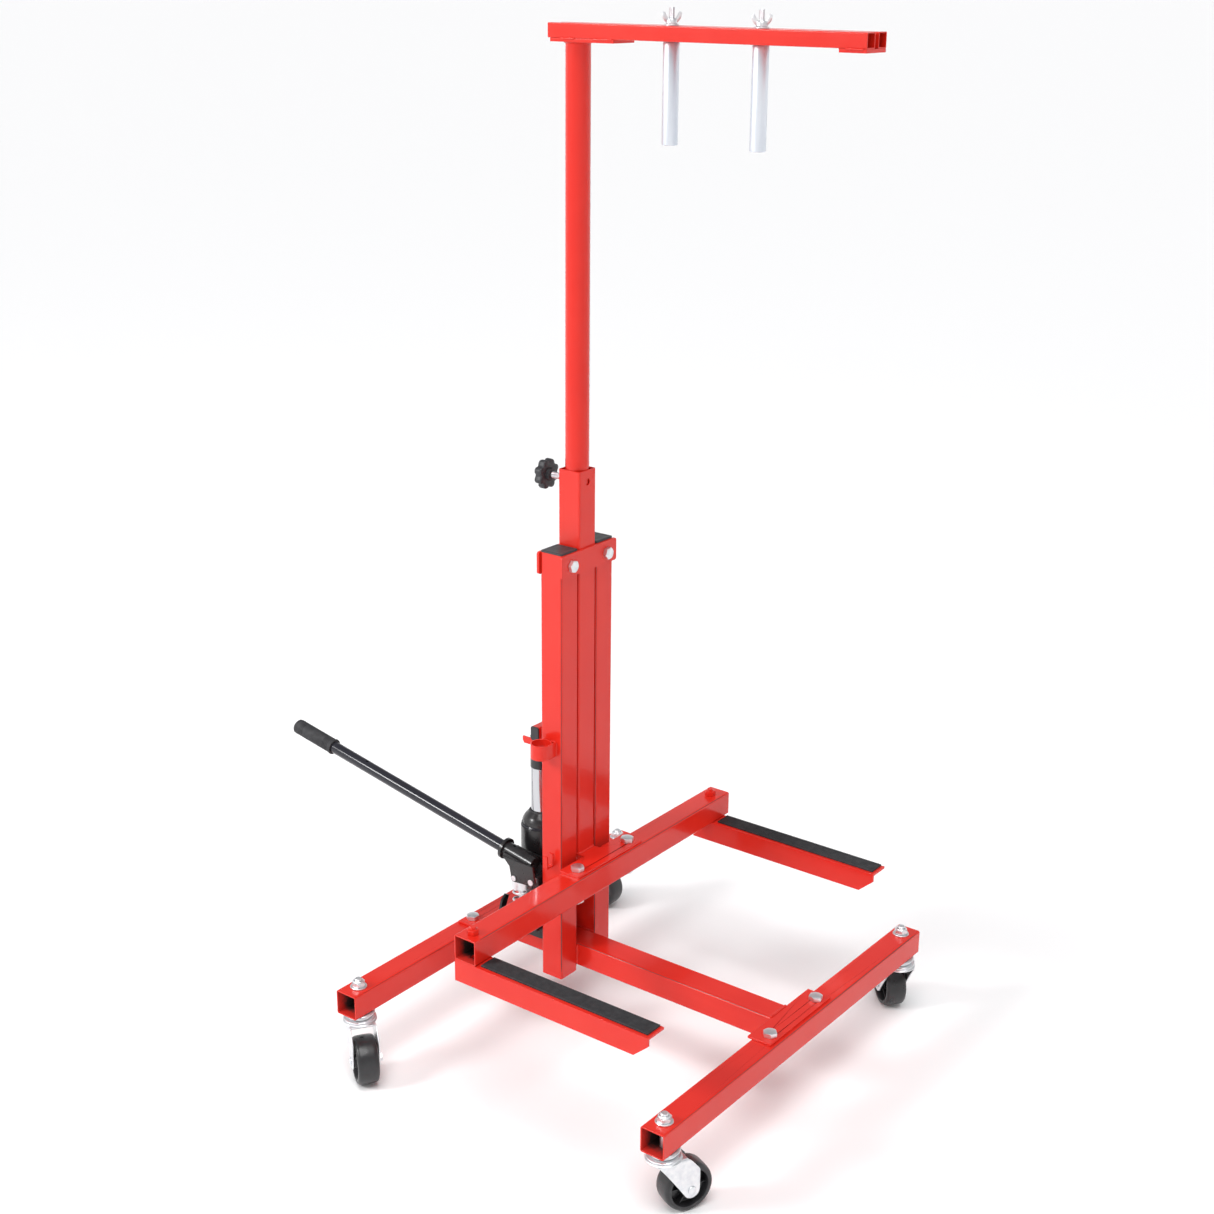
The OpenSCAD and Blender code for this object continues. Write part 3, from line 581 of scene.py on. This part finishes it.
def caster_fork(name):
    """Pressed fork: a sheet bent down on both sides of the wheel, with a turned race on top."""
    shape = Shape()
    m = caster_frame(name)
    inner, sheet, bend = 19.2, 2.5, 4.0
    half = inner + sheet
    bottom, top = WHEEL_R - 12.9, 91.3

    section = []
    steps = 26
    for i in range(steps + 1):
        z = bottom + (top - bend - bottom) * i / steps
        section.append((z, half, z, inner))
    for i in range(1, 7):
        a = math.pi / 2 * i / 6
        section.append((top - bend + bend * math.sin(a), half - bend + bend * math.cos(a),
                        top - bend + (bend - sheet) * math.sin(a),
                        half - bend + (bend - sheet) * math.cos(a)))
    left = section + [(top, 0.0, top - sheet, 0.0)]
    path = [(1, s) for s in left] + [(-1, s) for s in left[-2::-1]]
    rings = []
    for side, (zo, yo, zi, yi) in path:
        back, front = leg_reach(zo)
        rings.append([(back, side * yo, zo), (front, side * yo, zo),
                      (front, side * yi, zi), (back, side * yi, zi)])
    shape.rings(rings, m)
    obj = shape.piece(name + "_yoke", name + "_swivel", ZINC, bevel=0.7)
    race = Shape()
    race.lathe([(6.1, 96.6), (22.5, 96.6), (24.6, 96.2), (25.6, 95.2), (25.4, 94.0), (24.2, 93.3),
                (24.0, 92.7), (25.8, 92.0), (26.8, 90.9), (26.6, 89.6), (25.4, 88.9), (6.1, 88.9)],
               m, 64, closed=True)
    race.piece(name + "_race", name + "_swivel", ZINC, smooth=38)
    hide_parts(name + "_fork")


def caster_axle(name):
    shape = Shape()
    m = caster_frame(name) @ Matrix.Translation((TRAIL, 0, WHEEL_R)) @ Matrix.Rotation(
        math.pi / 2, 4, "X")
    shape.lathe([(3.9, -26.3), (3.9, 21.5)], m, 24)
    shape.lathe([(6.4, 21.5), (6.5, 22.1), (6.2, 23.5), (5.0, 24.3), (0.01, 24.5)], m, 40)
    flip = m @ Matrix.Rotation(math.pi, 4, "X")
    shape.hex_head(12, 21.7, 26.1, flip, under=1, hole=3.9, turn=0.2)
    shape.thread(3.9, 21.5, 26.4, flip, pitch=1.2, depth=0.5, segments=24)
    shape.piece(name + "_bolt", name + "_swivel", ZINC, [name + "_axle"])


def caster_wheel(name):
    """Moulded wheel: crowned tread, rolled shoulders, dished sides with ribs, and a hub."""
    shape = Shape()
    m = caster_frame(name) @ Matrix.Translation((TRAIL, 0, WHEEL_R)) @ Matrix.Rotation(
        math.pi / 2, 4, "X")
    half = [(4.2, 17.9), (9.4, 17.9), (10.2, 17.3), (10.6, 16.0), (11.4, 5.5), (13.0, 3.9),
            (26.4, 3.4), (28.0, 4.6), (28.9, 15.6), (29.6, 16.6), (30.8, 16.95), (33.0, 16.8),
            (35.0, 16.0), (36.5, 14.4), (37.4, 12.0), (37.75, 8.0), (37.9, 2.4)]
    profile = half + [(37.98, 0.35), (37.98, -0.35)] + [(r, -z) for r, z in reversed(half)]
    shape.lathe(profile, m, 72, closed=True)
    for i in range(6):
        turn = Matrix.Rotation(math.pi / 3 * i, 4, "Z")
        for side in (1, -1):
            rib = [(10.4, -0.9, 0), (28.8, -0.7, 0), (28.8, 0.7, 0), (10.4, 0.9, 0)]
            top = [(10.6, -0.7, side * 13.0), (28.4, -0.5, side * 11.4),
                   (28.4, 0.5, side * 11.4), (10.6, 0.7, side * 13.0)]
            shape.rings([[Vector(p) + Vector((0, 0, side * 3.0)) for p in rib], top], m @ turn)
    shape.piece(name + "_tyre", name + "_roller", WHEEL, [name + "_wheel"])


# ---------------------------------------------------------------- pads, grip and caps


def fork_pads():
    """Extruded rubber strips with fine ribs along their length."""
    shape = Shape()
    low, high = size_of("fork_pads")
    width = 30.0
    ribs = 13
    for x0 in (low.x, high.x - width):
        top = []
        pitch = (width - 2.4) / ribs
        for i in range(ribs):
            a = x0 + 1.2 + i * pitch
            top += [(a + pitch * 0.10, -1.0), (a + pitch * 0.26, -0.1), (a + pitch * 0.62, -0.1),
                    (a + pitch * 0.78, -1.0)]
        section = ([(x0 + 0.3, -3.0), (x0, -2.7), (x0, -0.7), (x0 + 0.5, -0.15), (x0 + 1.0, -0.15)]
                   + top
                   + [(x0 + width - 1.0, -0.15), (x0 + width - 0.5, -0.15), (x0 + width, -0.7),
                      (x0 + width, -2.7), (x0 + width - 0.3, -3.0)])
        rings = []
        for y, shrink in ((low.y + 0.1, 0.5), (low.y + 0.6, 0.0), (high.y - 0.6, 0.0),
                          (high.y - 0.1, 0.5)):
            rings.append([(min(max(x, x0 + shrink), x0 + width - shrink), y,
                           high.z + min(z, -shrink - 0.1)) for x, z in section])
        shape.rings(rings)
    shape.piece("pad_strips", "carriage", RUBBER, ["fork_pads"], smooth=30)


HANDLE_ROOT = Vector((PUMP_X, 42.6, 285.1))
HANDLE_PITCH = math.radians(11.0)
HANDLE_LEN = 537.0


def handle_frame():
    """Local Z runs outwards along the handle, local X across it."""
    along = Vector((0, math.cos(HANDLE_PITCH), math.sin(HANDLE_PITCH)))
    across = Vector((1, 0, 0))
    m = Matrix((across, along.cross(across), along)).transposed().to_4x4()
    m.translation = HANDLE_ROOT
    return m


def handle_grip():
    """Rubber grip: a collar at its inner end, grooves near both ends and a rounded outer end."""
    shape = Shape()
    start, end = HANDLE_LEN - 90, HANDLE_LEN
    r = 12.75
    profile = [(10.05, start), (r + 0.2, start), (r + 0.8, start + 0.6), (r + 0.8, start + 3.0),
               (r + 0.2, start + 3.8)]
    for first, count in ((start + 6, 5), (end - 24, 4)):
        for i in range(count):
            z = first + i * 3.2
            profile += [(r, z), (r, z + 1.5), (r - 0.5, z + 1.9), (r - 0.5, z + 2.8)]
        profile += [(r, first + count * 3.2 + 0.6)]
    profile += [(r, end - 5), (r - 0.5, end - 2.4), (r - 2.2, end - 0.6), (r - 5, end), (0.01, end)]
    shape.lathe(profile, handle_frame(), 48)
    shape.piece("grip", "handle", RUBBER, ["handle_grip"], smooth=30)


def rounded_outline(w, d, r, steps=5):
    points = []
    for cx, cy, a0 in ((w / 2 - r, d / 2 - r, 0), (-w / 2 + r, d / 2 - r, 90),
                       (-w / 2 + r, -d / 2 + r, 180), (w / 2 - r, -d / 2 + r, 270)):
        for i in range(steps + 1):
            a = math.radians(a0 + 90 * i / steps)
            points.append((cx + r * math.cos(a), cy + r * math.sin(a)))
    return points


def cap(shape, m, w, d, height, r=3.0):
    """Plug with a soft rim and a slightly raised, flat middle."""
    rings = []
    for grow, z in ((0.0, 0.0), (0.0, height - 1.2), (-0.35, height - 0.45), (-1.1, height - 0.05),
                    (-2.2, height), (-5.0, height), (-5.6, height - 0.12), (-9.0, height - 0.1)):
        rings.append([(x, y, z) for x, y in rounded_outline(
            w + 2 * grow, d + 2 * grow, max(0.4, r + grow))])
    shape.rings(rings, m)


def caps():
    shape = Shape()
    for side in (-1, 1):
        cap(shape, Matrix.Translation((side * UPRIGHT_X, 0, UPRIGHT_TOP)), TUBE, TUBE, 3.0)
    shape.piece("upright_plugs", "base", PLASTIC, ["upright_caps"])
    shape = Shape()
    for side in (-1, 1):
        m = Matrix.Translation((side * TUBE / 2, CROSSBAR_Y, BRACKET_Z + 11.5)) @ Matrix.Rotation(
            math.pi / 2, 4, "Z") @ Matrix.Rotation(side * math.pi / 2, 4, "X")
        shape.rings([[(x, y, z) for x, y in rounded_outline(16 - 2 * g, 23 - 2 * g, 3 - g)]
                     for g, z in ((0, 0), (0, 1.6), (0.4, 2.2), (1.2, 2.5), (2.4, 2.5))], m)
    shape.piece("bracket_ends", "carriage", PLASTIC, ["bracket_plugs"])


# ---------------------------------------------------------------- knob, pins and wing nuts


def clamp_knob():
    """Eight-lobed knob: dished front with a raised boss, hollow back, and a zinc screw."""
    m = turn_to((0, 1, 0), (0, 52, CLAMP_Z))
    shape = Shape()
    count = 96
    rows = [(8.0, -5.6, 0.0), (9.6, -5.0, 0.0), (10.0, -3.0, 0.0), (10.4, 0.2, 0.05),
            (15.0, 0.5, 0.35), (20.0, 0.3, 0.95), (21.6, 1.2, 1.0), (22.3, 3.0, 1.0),
            (22.5, 7.0, 1.0), (22.3, 11.0, 1.0), (21.6, 12.8, 1.0), (20.2, 13.8, 0.95),
            (16.6, 14.0, 0.6), (14.2, 13.4, 0.25), (12.0, 12.2, 0.1), (9.0, 12.0, 0.0),
            (8.0, 12.9, 0.0), (5.5, 13.3, 0.0), (0.2, 13.4, 0.0)]
    rings = []
    for r, z, lobe in rows:
        ring = []
        for j in range(count):
            a = 2 * math.pi * j / count
            wave = math.cos(8 * (a - math.radians(22.5)))
            depth = 1.9 * (wave - 1) * (1.0 if wave < 0 else 0.55)
            rr = r + lobe * (depth + 1.0)
            ring.append((rr * math.cos(a), rr * math.sin(a), z))
        rings.append(ring)
    shape.rings(rings, m)
    shape.piece("star_knob", "clamp", PLASTIC, ["clamp_knob"], smooth=50)
    screw = Shape()
    screw.thread(4.95, 0.0, 29.0, turn_to((0, -1, 0), (0, 47.6, CLAMP_Z)), pitch=1.5, depth=0.75)
    screw.piece("clamp_screw", "clamp", ZINC)


def hanging_pin(name, body, y):
    """Drawn rod under the arm, and the stud that holds it in the slot."""
    shape = Shape()
    m = Matrix.Translation((0, y, 0))
    top = ARM_UNDER
    low = top - 135
    shape.lathe([(0.01, low + 0.2), (8.4, low + 0.2), (8.7, low), (10.0, low), (10.8, low + 0.7),
                 (11.0, low + 1.6), (11.0, top - 1.6), (10.2, top - 0.4), (9.6, top), (0.01, top)],
                m, 56)
    obj = shape.piece(name + "_rod", body, DRAWN)
    stud = Shape()
    stud.thread(3.95, top - 1, ARM_TOP + 23.6, m, pitch=1.25, depth=0.6)
    stud.lathe([(4.2, 0.1), (9.7, 0.1), (10, 0.35), (10, 1.4), (9.7, 1.7), (4.2, 1.7)],
               Matrix.Translation((0, y, ARM_TOP)), 40, closed=True)
    stud.piece(name + "_stud", body, ZINC)
    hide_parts(name)


def wing_nut(name, body, y, turn):
    """Pressed wing nut: a conical hub with two flared ears, thick at the root."""
    shape = Shape()
    m = Matrix.Translation((0, y, ARM_TOP + 2.0)) @ Matrix.Rotation(math.radians(turn), 4, "Z")
    shape.lathe([(4.1, 0), (7.1, 0), (7.5, 0.4), (7.4, 2.0), (6.4, 6.4), (5.9, 7.0), (4.1, 7.0)],
                m, 40, closed=True)
    outline = [(3.9, 0.8), (6.6, 0.7), (9.4, 3.4), (12.0, 6.6), (13.4, 9.6), (13.7, 12.6),
               (12.9, 15.2), (11.4, 16.3), (9.7, 15.6), (8.4, 13.4), (7.2, 10.6), (5.6, 8.2),
               (4.3, 6.8)]
    for side in (0, math.pi):
        ear = Matrix.Rotation(side, 4, "Z") @ Matrix.Rotation(math.pi / 2, 4, "X")
        rings = []
        cx, cy = 8.6, 8.0  # middle of the ear
        for z, shrink in ((-1.25, 0.82), (-0.9, 0.95), (0, 1.0), (0.9, 0.95), (1.25, 0.82)):
            rings.append([(cx + (px - cx) * shrink, cy + (py - cy) * shrink, z)
                          for px, py in outline])
        shape.rings(rings, m @ ear)
    shape.piece(name + "_body", body, ZINC, [name], smooth=50)


# ---------------------------------------------------------------- jack details


def pump_spring():
    """Helix whose end turns lie flat, with a mesh of its own; nothing here shortens it as the
    plunger goes down.
    """
    shape = Shape()
    low, high = size_of("pump_spring")
    coil, wire = 13.9, 1.6
    turns, steps = 4.5, 170
    flat = 0.12  # share of the wire in each flat end turn
    points = []
    for i in range(steps + 1):
        share = i / steps
        a = 2 * math.pi * turns * share
        ease = min(1.0, max(0.0, (share - flat) / (1 - 2 * flat)))
        points.append((PUMP_X + coil * math.cos(a), PUMP_Y + coil * math.sin(a),
                       low.z + wire + (high.z - low.z - 2 * wire) * ease))
    shape.sweep(points, wire, 12)
    obj = shape.piece("return_spring", "base", ZINC, ["pump_spring"], smooth=60)
    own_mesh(obj)


def jack_trim():
    """Thread between the jack's body and its top nut, and the ram's wiper ring."""
    m = Matrix.Translation((0, JACK_Y, 0))
    shape = Shape()
    shape.thread(32.2, 326.4, 331.4, m, pitch=1.6, depth=0.6, segments=64)
    shape.piece("body_thread", "base", BLACK)
    ring = Shape()
    ring.lathe([(16.7, 351.6), (17.0, 353.0), (18.6, 353.1), (19.4, 352.2), (19.6, 351.4)], m, 56,
               closed=True)
    ring.piece("ram_wiper", "base", RUBBER)


# ---------------------------------------------------------------- welds


def base_welds():
    base = Shape()
    for side in (-1, 1):
        edge = side * 23.0
        for end, inner in ((FRONT_BAR_Y, FRONT_BAR_Y + 26), (REAR_BAR_Y, REAR_BAR_Y - 26)):
            weld(base, [(edge * 0.98, inner, BEAM_TOP - 1), (edge * 0.98, inner, 112)], 1.6)
        for y in (-20.6, 20.6):
            weld(base, [(side * 23.4, y, 113), (side * 23.4, y, 147)], 2.2)
        weld(base, [(side * 23.6, -19, 150.4), (side * 23.6, 19, 150.4)], 2.4)
        weld(base, [(side * 23.6, -19, 109.8), (side * 23.6, 19, 109.8)], 2.2)
    for y in (FRONT_BAR_Y + 26.4, REAR_BAR_Y - 26.4):
        weld(base, [(-22, y, BEAM_TOP + 0.2), (22, y, BEAM_TOP + 0.2)], 2.2)
    weld(base, [(-63.4, -10.4, 489.5), (-63.4, -10.4, 510.5)], 1.7)
    for y in (-4.0, 4.0):
        weld(base, [(-63.3, y, 299.5), (-63.3, y, 318.5)], 1.5)
    base.piece("base_welds", "base", RED, smooth=70)


def lift_welds():
    lift = Shape()
    weld(lift, [(-19, -20.4, 308), (19, -20.4, 308)], 2.0)
    for x in (-20.2, 20.2):
        weld(lift, [(x, -19, 308), (x, 16, 308)], 2.0)
    for x in (-14, 14):
        weld(lift, [(x, 20.4, BRACKET_Z + 1), (x, 20.4, BRACKET_Z + 22)], 2.0)
    weld(lift, [(-13, 20.4, BRACKET_Z + 23), (13, 20.4, BRACKET_Z + 23)], 1.9)
    around_nut = 10.4
    for i in range(2):
        a0 = math.pi * i + 0.5
        arc = [(around_nut * math.cos(a), 20.5, CLAMP_Z + around_nut * math.sin(a))
               for a in (a0 + k * 0.22 for k in range(10))]
        weld(lift, arc, 1.5)
    lift.piece("lift_welds", "carriage", RED, smooth=70)


def arm_welds():
    top = Shape()
    around_post = 18.3
    ring = [(around_post * math.cos(a), around_post * math.sin(a), ARM_TOP - 25.2)
            for a in (2 * math.pi * k / 40 for k in range(41))]
    weld(top, ring, 2.0)
    for side in (-1, 1):
        x = side * 24.3
        for y0, y1 in ((-77, -44), (-12, 14), (-466, -440)):
            weld(top, [(x, y0, ARM_UNDER), (x, y1, ARM_UNDER)], 1.7)
    z = ARM_TOP - 20.6
    for y, gap in ((-79.2, 6), (-429.8, 5)):
        weld(top, [(-23, y, z), (-gap, y, z)], 1.7)
        weld(top, [(gap, y, z), (23, y, z)], 1.7)
    top.piece("arm_welds", "post", RED, smooth=70)


base_bolts()
lift_bolts()
top_strap_bolts()
painted_arm_bolts()
stems()
for caster in CASTERS:
    caster_fork(caster)
    caster_axle(caster)
    caster_wheel(caster)
fork_pads()
handle_grip()
caps()
clamp_knob()
hanging_pin("rear_pin", "rear_hanger", REAR_PIN_Y)
hanging_pin("front_pin", "front_hanger", FRONT_PIN_Y)
wing_nut("rear_wing_nut", "rear_nut", REAR_PIN_Y, -40)
wing_nut("front_wing_nut", "front_nut", FRONT_PIN_Y, -65)
pump_spring()
jack_trim()
base_welds()
lift_welds()
arm_welds()

# ---------------------------------------------------------------- studio


def stage_floor():
    """A plain pale disc, wide enough to have no visible edge."""
    mesh = bpy.data.meshes.new("floor")
    r, segments = 120.0, 96
    verts = [(MAST_X, MAST_Y, 0)] + [
        (MAST_X + r * math.cos(2 * math.pi * i / segments),
         MAST_Y + r * math.sin(2 * math.pi * i / segments), 0) for i in range(segments)]
    mesh.from_pydata(verts, [], [(0, 1 + i, 1 + (i + 1) % segments) for i in range(segments)])
    obj = bpy.data.objects.new("floor", mesh)
    bpy.context.scene.collection.objects.link(obj)
    m, _, bsdf = new_material("floor_paper")
    bsdf.inputs["Base Color"].default_value = (0.95, 0.95, 0.95, 1)
    bsdf.inputs["Roughness"].default_value = 0.9
    bsdf.inputs["Specular IOR Level"].default_value = 0.1
    mesh.materials.append(m)


def area_light(name, place, target, size, power):
    data = bpy.data.lights.new(name, "AREA")
    data.shape = "SQUARE"
    data.size = size
    data.energy = power
    obj = bpy.data.objects.new(name, data)
    obj.location = place
    obj.rotation_euler = (Vector(target) - Vector(place)).to_track_quat("-Z", "Y").to_euler()
    bpy.context.scene.collection.objects.link(obj)


def sun_light(direction, strength, angle):
    data = bpy.data.lights.new("sun", "SUN")
    data.energy = strength
    data.angle = math.radians(angle)
    obj = bpy.data.objects.new("sun", data)
    obj.rotation_euler = Vector(direction).to_track_quat("-Z", "Y").to_euler()
    bpy.context.scene.collection.objects.link(obj)


def world():
    """A pale room: bright walls low down and a darker ceiling."""
    w = bpy.data.worlds.new("studio")
    bpy.context.scene.world = w
    w.use_nodes = True
    tree = w.node_tree
    back = tree.nodes["Background"]
    split = add_node(tree, "ShaderNodeSeparateXYZ")
    coord = add_node(tree, "ShaderNodeTexCoord")
    tree.links.new(coord.outputs["Generated"], split.inputs["Vector"])
    tree.links.new(ramp(tree, split.outputs["Z"], [
        (0.0, (1.0, 1.0, 1.0)), (0.28, (0.92, 0.92, 0.92)), (0.5, (0.32, 0.32, 0.33)),
        (1.0, (0.24, 0.24, 0.25))]), back.inputs["Color"])
    back.inputs["Strength"].default_value = 1.1


def camera():
    data = bpy.data.cameras.new("camera")
    data.lens, data.sensor_width = 55.47, 36.0
    data.clip_start, data.clip_end = 0.05, 400
    obj = bpy.data.objects.new("camera", data)
    obj.location = at(-2128.1, -1667.2, 1643.6)
    azimuth, elevation, roll = math.radians(-52.9), math.radians(19.01), math.radians(0.46)
    forward = Vector((-math.sin(azimuth) * math.cos(elevation),
                      math.cos(azimuth) * math.cos(elevation), -math.sin(elevation)))
    obj.rotation_mode = "QUATERNION"
    obj.rotation_quaternion = (forward.to_track_quat("-Z", "Y").to_matrix()
                               @ Matrix.Rotation(roll, 3, "Z")).to_quaternion()
    bpy.context.scene.collection.objects.link(obj)
    bpy.context.scene.camera = obj


stage_floor()
world()
area_light("key", (-3.1, 1.9, 2.5), (0, 0.2, 0.6), 0.9, 80)
sun_light((0.3, 0.25, -1), 2.05, 40)
camera()
bpy.context.scene.view_settings.view_transform = "Standard"
